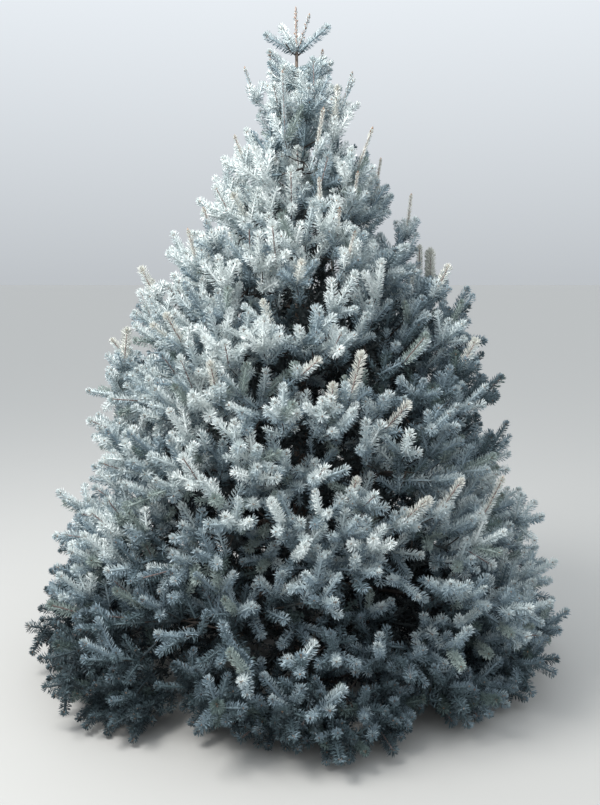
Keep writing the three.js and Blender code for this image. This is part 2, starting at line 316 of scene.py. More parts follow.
def mainTwigs(place):
    # the twigs that the source gives this mass, in its own order
    tierIndex, index, reach = place["tier"]["index"], place["index"], place["reach"]
    stemStart = stemStartOf(place)
    twigs = []

    def add(root, target, key):
        way = target - root
        longest = way.length
        turn = chance(tierIndex, index, key, 9) * 2 * math.pi
        twig = fittingTwig(place, root, way.normalized(), longest, turn)
        if twig:
            twigs.append(twig)
        return twig

    tipRoot = max(reach - sideTwigs["brush"] * 1.2, reach * 0.35, stemStart)
    add(onAxis(place, tipRoot), onAxis(place, reach), 90)
    width = place["left"] + place["right"]
    margin = math.degrees(sideTwigs["brushReach"] * sideTwigs["edgeShare"] / reach)
    fitting = math.floor(math.radians(width) * reach / 2 / sideTwigs["pairSpacing"] + 0.3)
    pairs = min(max(fitting, 1), sideTwigs["mostPairs"])
    for pair in range(1, pairs + 1):
        for hand in (-1, 1):
            offset = hand * (sideWidth(place, hand) - margin) * pair / pairs
            rim = reach * (1 - sideTwigs["rimSway"] * chance(tierIndex, index, pair, hand + 6))
            above = 1 if (pair + (1 if hand > 0 else 0)) % 2 else -1
            rise = above * sideTwigs["lift"] + sway(sideTwigs["liftSway"], tierIndex, index, pair, hand + 8)
            rise *= min(1, reach / sideTwigs["fullLiftReach"])
            root = onAxis(place, rootFor(place, rim, offset))
            for share in (1, 0.5, 0):
                if add(root, offAxis(place, rim, offset, rise * share), 10 * pair + hand):
                    break
    for i, share in enumerate(sideTwigs["upperAt" if reach > sideTwigs["topReach"] else "upperAtTop"]):
        r = max(reach * share, stemStart + sideTwigs["stemGap"])
        way = turned(place, r, sway(sideTwigs["upperSway"], tierIndex, index, i, 12), sideTwigs["upperTilt"])
        root = onAxis(place, r)
        add(root, root + way * sideTwigs["brush"], 70 + i)
    return twigs


places = [placeOf(tier, i) for tier in tiers for i in range(tier["count"])]
for place in places:
    place["twigs"] = mainTwigs(place)
print("growth rule:", len(places), "masses,", sum(len(place["twigs"]) for place in places), "main twigs")

# finer twigs and needled shoots
fineTwigs = {
    "alongRim": 136,  # between finer twigs, round the crown
    "upRim": 100,  # and up it
    "jitter": 0.8,
    "apart": 94,
    "loose": 75,
    "massShift": 90,  # a mass's fine growth stands higher or lower than its neighbours'
    "columnShift": 60,
    "plumeUp": 0.06,  # how far a mass draws in at its top and foot
    "plumeAcross": 0.05,
    "past": 1.15,  # how far a mass's growth may pass its own half of the space
    "pastFoot": 1.2,
    "footShift": 0.3,  # share of the shifts that the skirt takes
    "deepApart": 1.35,
    "raggedness": 0.08,
    "followTurn": 0.75,  # how far a shoot's bearing goes by its place in the mass
    "fan": 15,  # degrees that the twigs at a mass's sides turn away besides
    "riseWithHeight": [(0, 4), (300, 14), (700, 26), (1200, 38), (1700, 48), (2100, 60), (2500, 76)],
    "spreadUp": 30,
    "hang": -40,  # of the skirt's lowest twigs
    "wander": 27,
    # share of the radius, the space between twigs there, and the kind of shoot
    "deepLayers": [(0.86, 118, "fill"), (0.7, 150, "deep"), (0.53, 176, "deep"), (0.36, 205, "deep")],
    "bareAbove": 2265,  # up to where the rule grows; the whorls above are set one by one
    "openAbove": 1850,  # where one sees in as far as the deep shoots
    "insideShare": 0.8,  # of the crown's radius, where its dark inside begins
    "boxMargin": 36,  # that a tip may stand out of the box of the solids
    "inset": 18,  # what the needles of a shoot stand proud of its tip
    "thick": 2.2,
    "thickPerMm": 0.008,
    "tipThick": 1.6,
    "bow": 0.16,  # sideways, as a share of a twig's length
    "sag": 0.05,
    "detour": 2.5,  # how much a twig would rather come from wood nearer to the trunk
    "bareLength": 70,  # longer twigs carry a dark shoot
}
stems = {"thick": 8.5, "slimmest": 0.34, "end": 3.0, "steps": 6}
shootSizes = {
    "tip": (96, 146),  # terminal shoots
    "tallerBy": 0.15,  # shoots are longer at the top
    "ring": (0.66, 0.92),  # side shoots at the foot of a terminal one, as a share of it
    "inner": (80, 110),
    "innerRing": (0.66, 0.92),
    "ringCount": (2, 4),
    "innerRingCount": (1, 3),
    "angle": (38, 58),
    "upturn": 0.16,
    "bend": 0.12,
}

# shoots on the trunk under the leader: bearing, rise, length, kind, and how far out they start
topWhorls = {
    2336: [
        (180, 27, 120, "tip", 0), (150, 56, 106, "tip", 0), (-6, 70, 122, "sparse", 4),
        (-16, 31, 134, "tip", 0), (-112, 24, 66, "ring", 0), (84, 40, 104, "tip", 0),
    ],
    2264: [
        (178, 32, 112, "tip", 0), (160, 16, 104, "tip", 0), (180, 82, 62, "sparse", 92),
        (-6, 24, 108, "tip", 0), (-14, 6, 124, "tip", 0), (2, 80, 64, "sparse", 84),
        (-62, -8, 86, "ring", 0), (-120, -2, 88, "ring", 0), (100, 18, 104, "tip", 0),
        (50, 20, 92, "ring", 0),
    ],
    2205: [
        (150, 30, 128, "tip", 0), (-170, 36, 120, "tip", 0), (-118, 24, 110, "tip", 0),
        (-66, 20, 104, "tip", 0), (-28, 30, 124, "tip", 0), (10, 26, 130, "tip", 0),
        (48, 30, 118, "tip", 0), (92, 28, 120, "tip", 0),
    ],
}
# upright shoots that stand out of the crown: bearing, height of the foot, length, lean to the right
uprightShoots = [
    (-78, 1091, 162, 14), (-83, 1047, 111, 6), (-70, 1004, 122, 45), (-91, 1184, 89, 50),
    (-80, 774, 111, 19), (-66, 714, 112, 43), (-43, 660, 170, 24), (-57, 729, 136, 36),
    (-68, 717, 112, 50), (-101, 1981, 205, -1), (-77, 1923, 150, 9), (-40, 2076, 144, 14),
    (-51, 1841, 167, 19), (-134, 1901, 97, -16), (-129, 1597, 128, -18), (-136, 1529, 132, -10),
    (-164, 1421, 116, -19), (-126, 1259, 126, -27), (-170, 1202, 80, -36), (-112, 1102, 129, -8),
    (-73, 1611, 106, 2), (-72, 1528, 109, 15), (-78, 1724, 94, -6), (-58, 1749, 105, 5),
    (-31, 1424, 122, 19), (-37, 1171, 125, 24), (172, 2160, 112, -15), (-30, 2118, 98, 28),
]
uprights = {
    "depth": 0.92,  # of their feet, as a share of the crown's radius
    "outwards": 0.12,
    "slimAbove": 1480,
    "footLength": 70,
    "farCount": 26,  # on the sides that the camera does not see, set by chance
    "farBearings": (-20, 200),
    "farHeights": (650, 2050),
    "farLengths": (95, 165),
    "farLean": 40,
}

# dark hollows that one looks into from the front: bearing, height, radius
hollows = [
    (-65, 860, 70), (-70, 840, 60), (-60, 930, 50), (-75, 910, 65), (-90, 1390, 50), (-95, 1385, 45),
    (-85, 1450, 40), (-95, 1450, 35), (-105, 1455, 45), (-85, 1180, 60), (-85, 1255, 45), (-100, 1130, 50),
    (-70, 1180, 50), (-70, 1070, 35), (-65, 1310, 55), (-55, 1225, 45), (-90, 990, 50), (-50, 585, 35),
    (-85, 960, 35), (-110, 910, 40), (-120, 750, 70), (-120, 655, 50), (-100, 680, 60), (-95, 690, 35),
    (-65, 640, 60), (-45, 800, 50), (-65, 405, 60), (-95, 430, 60), (-90, 480, 50), (-80, 490, 55),
    (-75, 500, 60), (-110, 515, 40), (-110, 445, 50), (-100, 475, 40), (-65, 200, 60), (-65, 100, 70),
    (-115, 90, 70), (-105, 80, 65), (-115, 195, 45), (-55, 245, 45), (-85, 1960, 30), (-60, 1710, 40),
    (-45, 2015, 30), (-50, 1650, 40), (-100, 1230, 30), (-90, 545, 40), (-70, 450, 35), (-80, 960, 40),
    (-100, 615, 40), (-90, 800, 35), (-120, 425, 45), (-75, 335, 35),
]
hollowSpan = (-260, 210)  # how far a hollow goes, before and behind the crown's outline
hollowEye = Vector((0, -3450, 1500))  # the hollows run away from here

# bouquets that stand out at the front: bearing, height, and how many tones paler they are; a paler number is
# painted light, a negative one painted shade
frontBouquets = [
    (-90, 385, 1), (-80, 325, 2), (-100, 315, 1), (-85, 220, 0), (-145, 450, 2), (-140, 600, 2),
    (-45, 640, 2), (-90, 680, 1), (-75, 690, 2), (-105, 760, 1), (-130, 815, 1), (-115, 895, 2),
    (-120, 950, 1), (-85, 915, 1), (-100, 905, 1), (-65, 975, 1), (-75, 1010, 1), (-55, 1030, 1),
    (-80, 1050, 1), (-40, 1090, 2), (-120, 1125, 1), (-120, 1185, 1), (-110, 1270, 1), (-120, 1250, 1),
    (-80, 1300, 1), (-100, 1320, 1), (-35, 1320, 1), (-75, 1450, 1), (-120, 1530, 1), (-105, 1575, 2),
    (-100, 1605, 2), (-115, 1880, 2), (-55, 1890, 2), (-60, 530, 0), (-85, 535, 0), (-110, 645, 0),
    (-90, 755, 1), (-85, 780, 0), (-75, 820, 0), (-105, 1020, 1), (-85, 1690, 0), (-70, 1115, 1),
    (-80, 2110, -2), (-45, 2020, -2), (-125, 1200, -2), (-125, 1420, -2), (-130, 950, -2), (-75, 1850, -2),
    (-110, 1600, -2), (-130, 1630, -2), (-90, 1520, -2), (-115, 1410, -1), (-100, 960, 0), (-80, 735, 0),
    (-55, 1280, 1), (-125, 1105, 1), (-110, 840, 1), (-145, 550, 1), (-130, 315, 1), (-140, 940, 1),
    (-120, 1030, 1), (-85, 1355, -1), (-95, 1640, 1), (-50, 2095, 1), (-75, 1700, 1), (-85, 1110, 2),
    (-115, 1110, 2), (-140, 680, 1), (-145, 375, 1), (-95, 790, 1), (-60, 1520, 1), (-115, 1330, 1),
    (-105, 210, 1),
]
front = {
    "depth": 0.97,  # of their middles, as a share of the crown's radius
    "standOut": 55,
    "upShare": 0.3,
}

# how far the lowest shoots reach, by bearing: a hem that all but touches the ground
hem = {
    "reach": [
        (-180, 980), (-160, 1025), (-150, 1040), (-138, 1040), (-126, 1010), (-118, 880),
        (-104, 890), (-92, 885), (-84, 945), (-78, 970), (-72, 945), (-64, 855),
        (-54, 905), (-44, 940), (-33, 960), (0, 950), (180, 980),
    ],
    "upTo": 300,
    "spacing": 84,
    "heights": (12, 70),
    "rowStep": 52,  # from the lower row to the upper one
    "raggedness": 0.06,
    "turnSway": 50,
    "rise": (-14, -2),  # of the lower row and the upper one
    "riseSway": 36,
}
# the last shoot of the trunk; "within" is a point of the mass that it counts with
leader = {"foot": 2345, "tip": 2490, "length": 131, "within": (-60, 0, 2400)}

shoots = []  # each: mass, root, way, length, kind
twigPaths = []  # each: points, radii


def elevationAt(z):
    heights, angles = zip(*fineTwigs["riseWithHeight"])
    return float(np.interp(z, heights, angles))


def growthWay(place, point, across, upShare, *keys):
    # the way that a shoot at this point of the crown grows
    _, turn = polar(place, point)
    wander = fineTwigs["wander"]
    bearing = place["bearing"] + turn * fineTwigs["followTurn"] + fineTwigs["fan"] * across
    bearing += sway(2 * wander, *keys, 21)
    rise = elevationAt(point.z) + fineTwigs["spreadUp"] * upShare + sway(1.4 * wander, *keys, 22)
    if place["tier"]["index"] == 0 and upShare < -0.2:
        rise += fineTwigs["hang"] * min(1, -upShare)
    return wayOf(bearing, rise)


def inReach(place, point):
    # finer shoots may grow a little into the next mass, but not out of the crown
    r, turn = polar(place, point)
    loose = fineTwigs["loose"]
    furthest = max(place["reach"], skirtRadius(place["bearing"] + turn, point.z))
    return (
        insideBy(place, r, turn) > -loose
        and r > trunkRadius(point.z) + 6
        and point.z > max(tierFoot(place["tier"], r) - loose, tree["groundClearance"])
        and point.z < min(tierTop(place["tier"], r) + loose, tree["height"])
        and r < furthest * (1 + whorls["reachSway"] / 2)
    )


def hollowAxes():
    # each hollow as a point on the outside, a way into the crown, and a radius
    axes = []
    for bearing, z, radius in hollows:
        mouth = pointAt(crownRadius(z), bearing, z)
        axes.append((mouth, (mouth - hollowEye).normalized(), radius))
    return axes


axesOfHollows = hollowAxes()


def inHollow(point):
    for mouth, way, radius in axesOfHollows:
        ahead = (point - mouth).dot(way)
        if hollowSpan[0] < ahead < hollowSpan[1] and (point - mouth - way * ahead).length < radius:
            return True
    return False


boxLow = [side / mm - fineTwigs["boxMargin"] for side in cadBox[0]]
boxHigh = [side / mm + fineTwigs["boxMargin"] for side in cadBox[1]]


def inBox(point):
    return all(boxLow[i] < point[i] < boxHigh[i] for i in (0, 1))


def putShoot(place, root, way, length, kind):
    shoots.append({"place": place, "root": root, "way": way, "length": length, "kind": kind})


def addShoot(place, root, way, length, kind):
    # a shoot is shortened until it stays in its mass's space, or skipped
    for share in (1, 0.8, 0.62):
        tip = root + way * length * share
        middle = (root + tip) / 2
        outside = kind != "deep" or tip.xy.length > fineTwigs["insideShare"] * crownRadius(tip.z)
        if outside and (inHollow(tip) or inHollow(middle)):
            continue
        if inBox(tip) and inReach(place, tip) and inReach(place, middle):
            putShoot(place, root, way, length * share, kind)
            return True
    return False


def between(pair, share):
    return pair[0] + (pair[1] - pair[0]) * share


def ringOf(place, centre, way, count, length, kind, keys):
    side, over = aroundWay(way)
    start = chance(*keys, 31) * 2 * math.pi
    for i in range(count):
        spin = start + i * 2 * math.pi / count + sway(0.9, *keys, i, 32)
        angle = math.radians(between(shootSizes["angle"], chance(*keys, i, 33)))
        out = side * math.cos(spin) + over * math.sin(spin)
        shootWay = way * math.cos(angle) + out * math.sin(angle) + upwards * shootSizes["upturn"]
        shootLength = length * (0.85 + 0.3 * chance(*keys, i, 34))
        addShoot(place, centre, shootWay.normalized(), shootLength, kind)


shootKindsAt = {
    "outer": ("tip", "ring", "inner", "innerRing"),
    "fill": ("fill", "fill", "fill", "fill"),
    "deep": ("deep", "deep", "deep", "deep"),
}


def bouquet(place, target, way, inward, layer, *keys):
    # a terminal shoot, a ring of side shoots at its foot, and the year before's growth below it
    taller = 1 + shootSizes["tallerBy"] * max(0, target.z / tree["height"] - 0.4)
    tipLength = between(shootSizes["tip"], chance(*keys, 41)) * taller
    innerLength = between(shootSizes["inner"], chance(*keys, 42))
    neck = target - way * tipLength
    back = (way * 0.6 + inward * 0.4).normalized()
    low = neck - back * innerLength
    kinds = shootKindsAt["fill" if layer == "deep" and target.z > fineTwigs["openAbove"] else layer]
    if not addShoot(place, neck, way, tipLength, kinds[0]):
        return None
    count = round(between(shootSizes["ringCount"], chance(*keys, 43)))
    length = tipLength * between(shootSizes["ring"], chance(*keys, 44))
    ringOf(place, neck, way, count, length, kinds[1], (*keys, 45))
    # the twig below a bouquet is never bare
    putShoot(place, low, (neck - low).normalized(), innerLength, kinds[2])
    count = round(between(shootSizes["innerRingCount"], chance(*keys, 46)))
    length = tipLength * between(shootSizes["innerRing"], chance(*keys, 47))
    ringOf(place, low, back, count, length, kinds[3], (*keys, 48))
    return neck, low


def joinTwig(place, neck, low, *keys):
    # a twig runs from the nearest wood nearer to the trunk, which keeps twigs short and forked
    points = np.array(place["wood"])
    end = np.array(low)
    distance = np.linalg.norm(points - end, axis=1)
    inwards = np.hypot(points[:, 0], points[:, 1]) - math.hypot(low.x, low.y) + 0.45 * distance
    root = Vector(points[np.argmin(distance + fineTwigs["detour"] * np.maximum(inwards, 0))])
    gap = (low - root).length
    across = fineTwigs["bow"]
    bow = Vector((sway(across, *keys, 61), sway(across, *keys, 62), sway(0.1, *keys, 63) - fineTwigs["sag"]))
    middle = (root + low) / 2 + bow * gap
    foot = fineTwigs["thick"] + fineTwigs["thickPerMm"] * gap
    radii = [foot, foot * 0.8, fineTwigs["thick"], fineTwigs["tipThick"]]
    twigPaths.append(([root, middle, low, neck], radii))
    place["wood"] += [tuple(root.lerp(middle, 0.5)), tuple(middle), tuple(middle.lerp(low, 0.5)), tuple(low)]
    if gap > fineTwigs["bareLength"]:
        way = (low - middle).normalized()
        length = min(gap * 0.5, 95)
        addShoot(place, low - way * length, way, length, "deep")


def skirtRadius(bearing, z):
    # the crown's radius, which at its foot also goes by the bearing
    bearings, reaches = zip(*hem["reach"])
    low = max(0, 1 - z / hem["upTo"])
    reach = float(np.interp((bearing + 180) % 360 - 180, bearings, reaches))
    return crownRadius(z) + (reach - crown["skirtRadius"]) * low


def crownPoint(place, u, v, half, share, ragged):
    # a point of a mass's outer face: u across it and v up it, from -1 to 1
    bearing = place["bearing"] + u * sideWidth(place, u)
    z = axisHeight(place["tier"], place["reach"] * share) + v * half
    plumeUp = 0 if place["tier"]["index"] == 0 and v < 0 else fineTwigs["plumeUp"]
    drawn = 1 - plumeUp * v * v - fineTwigs["plumeAcross"] * u * u
    rim = (skirtRadius(bearing, z) * drawn * ragged - fineTwigs["inset"]) * share
    return pointAt(rim, bearing, z)


def growLayer(place, share, spacing, layer, number, targets):
    tier, reach = place["tier"], place["reach"]
    keys = (tier["index"], place["index"], number)
    deep = layer != "outer"
    half = halfSpace(tier)
    arc = math.radians(place["left"] + place["right"]) * reach * share
    columns = max(1 if deep else 2, round(arc / spacing))
    rows = max(2, round(2.15 * half / (spacing * fineTwigs["upRim"] / fineTwigs["alongRim"])))
    jitter = fineTwigs["jitter"]
    for row in range(rows):
        for column in range(columns):
            cell = row * 40 + column
            stagger = 0.25 if row % 2 else -0.25
            u = -1 + 2 * (column + 0.5 + sway(jitter, *keys, cell, 51) + stagger) / columns
            v = 1.07 * (-1 + 2 * (row + 0.5 + sway(jitter, *keys, cell, 52)) / rows)
            lowest = -fineTwigs["pastFoot" if tier["index"] == 0 else "past"]
            u, v = max(-1.0, min(1.0, u)), max(lowest, min(fineTwigs["past"], v))
            ragged = 1 + sway(2 * fineTwigs["raggedness"], *keys, cell, 53)
            shift = sway(fineTwigs["massShift"], *keys[:2], 54)
            shift += sway(fineTwigs["columnShift"], *keys, column, 55)
            if tier["index"] == 0:
                shift *= fineTwigs["footShift"]
            target = crownPoint(place, u, v + shift / half, half, share, ragged)
            if target.z > fineTwigs["bareAbove"]:
                continue
            apart = fineTwigs["apart"] * (fineTwigs["deepApart"] if deep else 1)
            if any((target - other).length < apart for other in targets):
                continue
            way = growthWay(place, target, u, v, *keys, cell)
            inward = (target - onAxis(place, rootFor(place, reach * share, u * place["left"]))).normalized()
            made = bouquet(place, target, way, inward, layer, *keys, cell)
            if made:
                targets.append(target)
                place["ends"].append((*made, (*keys, cell)))


def growMass(place):
    tier, reach = place["tier"], place["reach"]
    own = (tier["index"], place["index"])
    # the stem, from its bough or the trunk to its last twig
    start = stemStartOf(place) + 0.3
    stop = max(reach - sideTwigs["brush"] * 0.6, reach * 0.6)
    thick = stems["thick"] * max(stems["slimmest"], tier["reach"] / tiers[1]["reach"])
    steps = stems["steps"]
    points = [onAxis(place, start + (stop - start) * i / steps) for i in range(steps + 1)]
    twigPaths.append((points, [thick + (stems["end"] - thick) * i / steps for i in range(steps + 1)]))
    place["wood"] = [tuple(point) for point in points]
    targets = [end[0] for end in place["ends"]]
    if tier["index"] == len(tiers) - 1:
        return 0  # topWhorls has the shoots here
    for number, twig in enumerate(place["twigs"]):
        target = twig["root"] + twig["way"] * (twig["length"] - fineTwigs["inset"])
        r, turn = polar(place, target)
        upShare = (target.z - axisHeight(tier, r)) / halfSpace(tier)
        across = turn / sideWidth(place, turn)
        way = growthWay(place, target, across, upShare, *own, number) + twig["way"] * 0.7
        made = bouquet(place, target, way.normalized(), twig["way"], "outer", *own, 0, 500 + number)
        if made:
            neck, low = made
            targets.append(target)
            if (low - twig["root"]).length > 30:
                middle = (twig["root"] + low) / 2 - upwards * (low - twig["root"]).length * 0.04
                twigPaths.append(([twig["root"], middle, low, neck], [4.6, 3.6, 2.6, 1.8]))
                place["wood"] += [tuple(twig["root"].lerp(low, share)) for share in (0.25, 0.5, 0.75, 1)]
    growLayer(place, 1, fineTwigs["alongRim"], "outer", 0, targets)
    for number, (share, spacing, layer) in enumerate(fineTwigs["deepLayers"]):
        if reach * share > 60:
            growLayer(place, share, spacing, layer, number + 1, targets)
    place["ends"].sort(key=lambda end: math.hypot(end[1].x, end[1].y))
    for neck, low, keys in place["ends"]:
        joinTwig(place, neck, low, *keys)
    return len(targets)


def massAt(point):
    # the mass whose space holds a point
    def misfit(place):
        r, turn = polar(place, point)
        tier = place["tier"]
        outside = max(0, tierFoot(tier, r) - point.z) + max(0, point.z - tierTop(tier, r))
        return outside + r * math.radians(max(0, abs(turn) - sideWidth(place, turn)))

    return min(places, key=misfit)


def growTop():
    for height, whorl in topWhorls.items():
        for bearing, rise, length, kind, outBy in whorl:
            way = wayOf(bearing, rise)
            root = pointAt(max(outBy, trunkRadius(height) * 0.7), bearing, height)
            putShoot(massAt(root + way * length), root, way, length, kind)
    # the leader itself carries few needles
    root = pointAt(0, 0, leader["foot"])
    way = (pointAt(0, 0, leader["tip"]) - root).normalized()
    putShoot(massAt(Vector(leader["within"])), root, way, leader["length"], "leader")


def growHem(place):
    tier = place["tier"]
    width = place["left"] + place["right"]
    count = round(width / math.degrees(hem["spacing"] / tier["reach"]))
    for row in (0, 1):
        for i in range(count):
            keys = (tier["index"], place["index"], i + 20 * row, 81)
            offset = -place["right"] + (i + 0.5 + 0.5 * row + sway(0.7, *keys, 1)) * width / count
            bearing = place["bearing"] + offset
            z = between(hem["heights"], chance(*keys, 2)) + hem["rowStep"] * row
            r = skirtRadius(bearing, z) * (1 - hem["raggedness"] * chance(*keys, 3)) - fineTwigs["inset"]
            target = pointAt(r, bearing, z)
            rise = hem["rise"][row] + sway(hem["riseSway"], *keys, 5)
            way = wayOf(bearing + sway(hem["turnSway"], *keys, 4), rise)
            inward = (target - onAxis(place, tier["reach"] * 0.5)).normalized()
            made = bouquet(place, target, way, inward, "outer", *keys)
            if made:
                place["ends"].append((*made, keys))


def growUpright(bearing, height, length, lean, key):
    root = pointAt(crownRadius(height) * uprights["depth"] - fineTwigs["inset"], bearing, height)
    place = massAt(root)
    outwards = wayOf(bearing, 0)
    way = (wayOf(0, 90 - lean) + outwards * uprights["outwards"]).normalized()
    putShoot(place, root, way, length, "spire" if height > uprights["slimAbove"] else "upright")
    ringOf(place, root, way, 4, length * 0.5, "ring", (key, 71))
    low = root - (way + outwards).normalized() * uprights["footLength"]
    addShoot(place, low, (root - low).normalized(), uprights["footLength"], "inner")
    place["ends"].append((root, low, (key, 72)))


def growFront():
    for number, (bearing, height, paler) in enumerate(frontBouquets):
        centre = pointAt(crownRadius(height) * front["depth"], bearing, height)
        place = massAt(centre)
        _, turn = polar(place, centre)
        way = growthWay(place, centre, turn / sideWidth(place, turn), front["upShare"], number, 91)
        inward = (centre - onAxis(place, place["reach"] * 0.6)).normalized()
        first = len(shoots)
        made = bouquet(place, centre + way * front["standOut"], way, inward, "outer", number, 92)
        # painted light steps for every shoot of this bouquet: paler tones where positive, painted shade where
        # negative
        for shoot in shoots[first:]:
            shoot["paler"] = paler
        if made:
            place["ends"].append((*made, (number, 93)))


def growUprights():
    for number, (bearing, height, length, lean) in enumerate(uprightShoots):
        growUpright(bearing, height, length, lean, number)
    for number in range(uprights["farCount"]):
        bearing = between(uprights["farBearings"], chance(number, 73))
        height = between(uprights["farHeights"], chance(number, 74))
        length = between(uprights["farLengths"], chance(number, 75))
        lean = sway(uprights["farLean"], number, 76) * math.cos(math.radians(bearing))
        growUpright(bearing, height, length, lean, 100 + number)


for place in places:
    place["ends"] = []
growUprights()
growFront()
growTop()
for place in places[: tiers[0]["count"]]:
    growHem(place)
bouquets = sum(growMass(place) for place in places)
kindCounts = {kind: sum(s["kind"] == kind for s in shoots) for kind in sorted({s["kind"] for s in shoots})}
print("foliage:", bouquets, "bouquets,", len(shoots), "shoots", kindCounts, len(twigPaths), "twigs")


def linear(*colour):
    # a colour as seen on a screen, 0 to 255, as the light that Blender wants
    return tuple(((c / 255 + 0.055) / 1.055) ** 2.4 if c > 10 else c / 3294.6 for c in colour) + (1.0,)


def plainMaterial(name, colour, roughness):
    material = bpy.data.materials.new(name)
    material.use_nodes = True
    shader = material.node_tree.nodes["Principled BSDF"]
    shader.inputs["Base Color"].default_value = linear(*colour)
    shader.inputs["Roughness"].default_value = roughness
    shader.inputs["Specular IOR Level"].default_value = 0.3
    material.diffuse_color = linear(*colour)
    return material


# needle tones: frost down to shadow is a ladder of lit and shaded copies that the painted light and shade
# below picks from, besides random tone; inner is painted shade for the crown's hidden inside
needleTones = {
    "frost": (224, 230, 229),
    "pale": (210, 218, 218),
    "silver": (186, 197, 199),
    "blue": (160, 175, 181),
    "slate": (130, 147, 156),
    "deep": (103, 120, 127),
    "shade": (79, 95, 100),
    "shadow": (57, 69, 74),
    "green": (148, 161, 157),
    "shadedGreen": (92, 108, 106),
    "inner": (54, 61, 62),
    "cream": (217, 218, 212),
    "youngBark": (134, 115, 111),
}
toneNames = list(needleTones)
darkest = toneNames.index("shadow")
needleMaterials = []
for name, colour in needleTones.items():
    needleMaterials.append(plainMaterial("needles" + name.capitalize(), colour, roughness=0.62))
twigMaterials = [plainMaterial("oldTwig", (66, 60, 56), roughness=0.75)]
budTones = {"bud": (158, 132, 114), "darkBud": (122, 98, 82)}
budMaterials = [plainMaterial(name, colour, roughness=0.5) for name, colour in budTones.items()]


def meshPiece(name, corners, faces, tones, materials, smooth=False):
    mesh = bpy.data.meshes.new(name)
    mesh.vertices.add(len(corners))
    mesh.vertices.foreach_set("co", (np.asarray(corners, dtype=np.float32) * mm).ravel())
    mesh.loops.add(faces.size)
    mesh.loops.foreach_set("vertex_index", faces.astype(np.int32).ravel())
    mesh.polygons.add(len(faces))
    mesh.polygons.foreach_set("loop_start", np.arange(0, faces.size, 3, dtype=np.int32))
    mesh.polygons.foreach_set("material_index", tones.astype(np.int32))
    mesh.polygons.foreach_set("use_smooth", np.full(len(faces), smooth))
    for material in materials:
        mesh.materials.append(material)
    mesh.update(calc_edges=True)
    mesh.validate()
    piece = bpy.data.objects.new(name, mesh)
    bpy.context.collection.objects.link(piece)
    return piece


def unit(vectors):
    return vectors / np.maximum(np.linalg.norm(vectors, axis=-1, keepdims=True), 1e-9)


needles = {
    "perMm": {
        "tip": 1.38,
        "upright": 1.6,
        "spire": 1.2,
        "sparse": 0.7,
        "leader": 0.4,
        "ring": 1.56,
        "inner": 0.8,
        "innerRing": 0.78,
        "fill": 0.5,
        "deep": 0.25,
    },
    "length": 25.0,
    "plumpness": (0.82, 1.2),  # of a shoot's needles
    "width": 4.2,
    "bladeWidth": {"ring": 5.4, "inner": 6.2, "innerRing": 6.6, "fill": 7.8, "deep": 10.6},
    "angle": (76, 60),  # from the shoot's foot to its tip
    "slim": 0.62,  # share of the angle and of the length, on shoots that needles hug
    "dome": (62, 10),  # of the needles round the bud
    "domeShare": 0.2,
    "paintedLight": {"upper": 0.4, "under": -0.3, "tip": 0.86, "foot": 0.3},  # painted light and shade: where it is paler or darker
    "goldenAngle": 2.39996,
    "upBias": 0.16,
    "widestAt": 0.66,
    "bladeWidestAt": 0.72,
    # on tip shoots below this height the painted light may reach two tones paler
    "strongPaintedLightBelow": 1900,
    "fold": 0.3,
    "fewest": 8,  # on a shoot
    "mostFaces": 185000,  # in a piece, about
}
plainKinds = list(needles["bladeWidth"])
slimKinds = ["spire", "sparse", "leader"]
thinKinds = ["upright", *slimKinds]
rng = np.random.default_rng(tree["seed"])

shootRoots = np.array([s["root"] for s in shoots])
shootWays = unit(np.array([s["way"] for s in shoots]))
shootLengths = np.array([s["length"] for s in shoots])
shootKinds = np.array([s["kind"] for s in shoots])
# painted light and shade of the front bouquets, in tones paler
shootPaintedLight = np.array([s.get("paler", 0) for s in shoots])
shootBends = shootSizes["bend"] * rng.uniform(0.2, 1.4, len(shoots)) * (shootKinds != "leader")
plumpness = rng.uniform(*needles["plumpness"], len(shoots))
up = np.array([0.0, 0.0, 1.0])


def alongShoot(index, t):
    # a point on a shoot, which curves upwards to its tip
    straight = shootRoots[index] + shootWays[index] * (shootLengths[index] * t)[:, None]
    return straight + up * (shootBends[index] * shootLengths[index] * t * t)[:, None]


def shootFrames(index):
    # the way of each shoot and two directions across it
    way = shootWays[index]
    side = unit(np.cross(way, up) + np.array([1e-5, 0, 0]))
    return way, side, np.cross(side, way)


# painted shade by height, darker low down, where it also stands for the older needles' deeper tone: share of
# the height, and tone there
paintedShadeByHeight = [
    (0, 7.0), (0.06, 6.1), (0.13, 4.5), (0.2, 3.9), (0.27, 3.0), (0.44, 2.4), (0.65, 1.3),
    (0.78, 1.3), (0.86, 1.9), (1, 2.6),
]
# painted light and shade to the sides: share of the height, and tones darker for each metre
paintedShadeRightwards = [
    (0, -1.2), (0.17, -1.4), (0.24, -0.5), (0.27, -0.6), (0.3, -1.4), (0.34, 1.0),
    (0.38, 4.0), (0.46, 4.6), (0.54, 3.9), (0.7, 4.4), (0.85, 3.6),
]
paintedShadeLeftwards = [
    (0, 2.0), (0.13, 1.6), (0.2, 0.3), (0.26, -0.2), (0.33, -0.9), (0.42, -0.5),
    (0.5, 0.5), (0.65, -0.8), (0.8, -3.4),
]
toning = {
    "outer": -0.2,  # painted shade: tones darker, by where a shoot grows
    "inner": 1.0,
    "fill": 2.0,
    "deep": 2.5,
    "paintedGapShade": ([0.4, 0.6], [0, 1.5]),  # painted shade in the gaps: share of the height, and tones darker
    "scatter": 0.75,
    "cream": (0.33, 0.88),  # shares of the height that cream shoots stand between
    "greenShare": 0.07,
    "greenBelow": 0.85,
    "greenShadedAbove": 4,  # above this tone green takes the dark green, its painted shade copy
    "silverAbove": 2100,
}


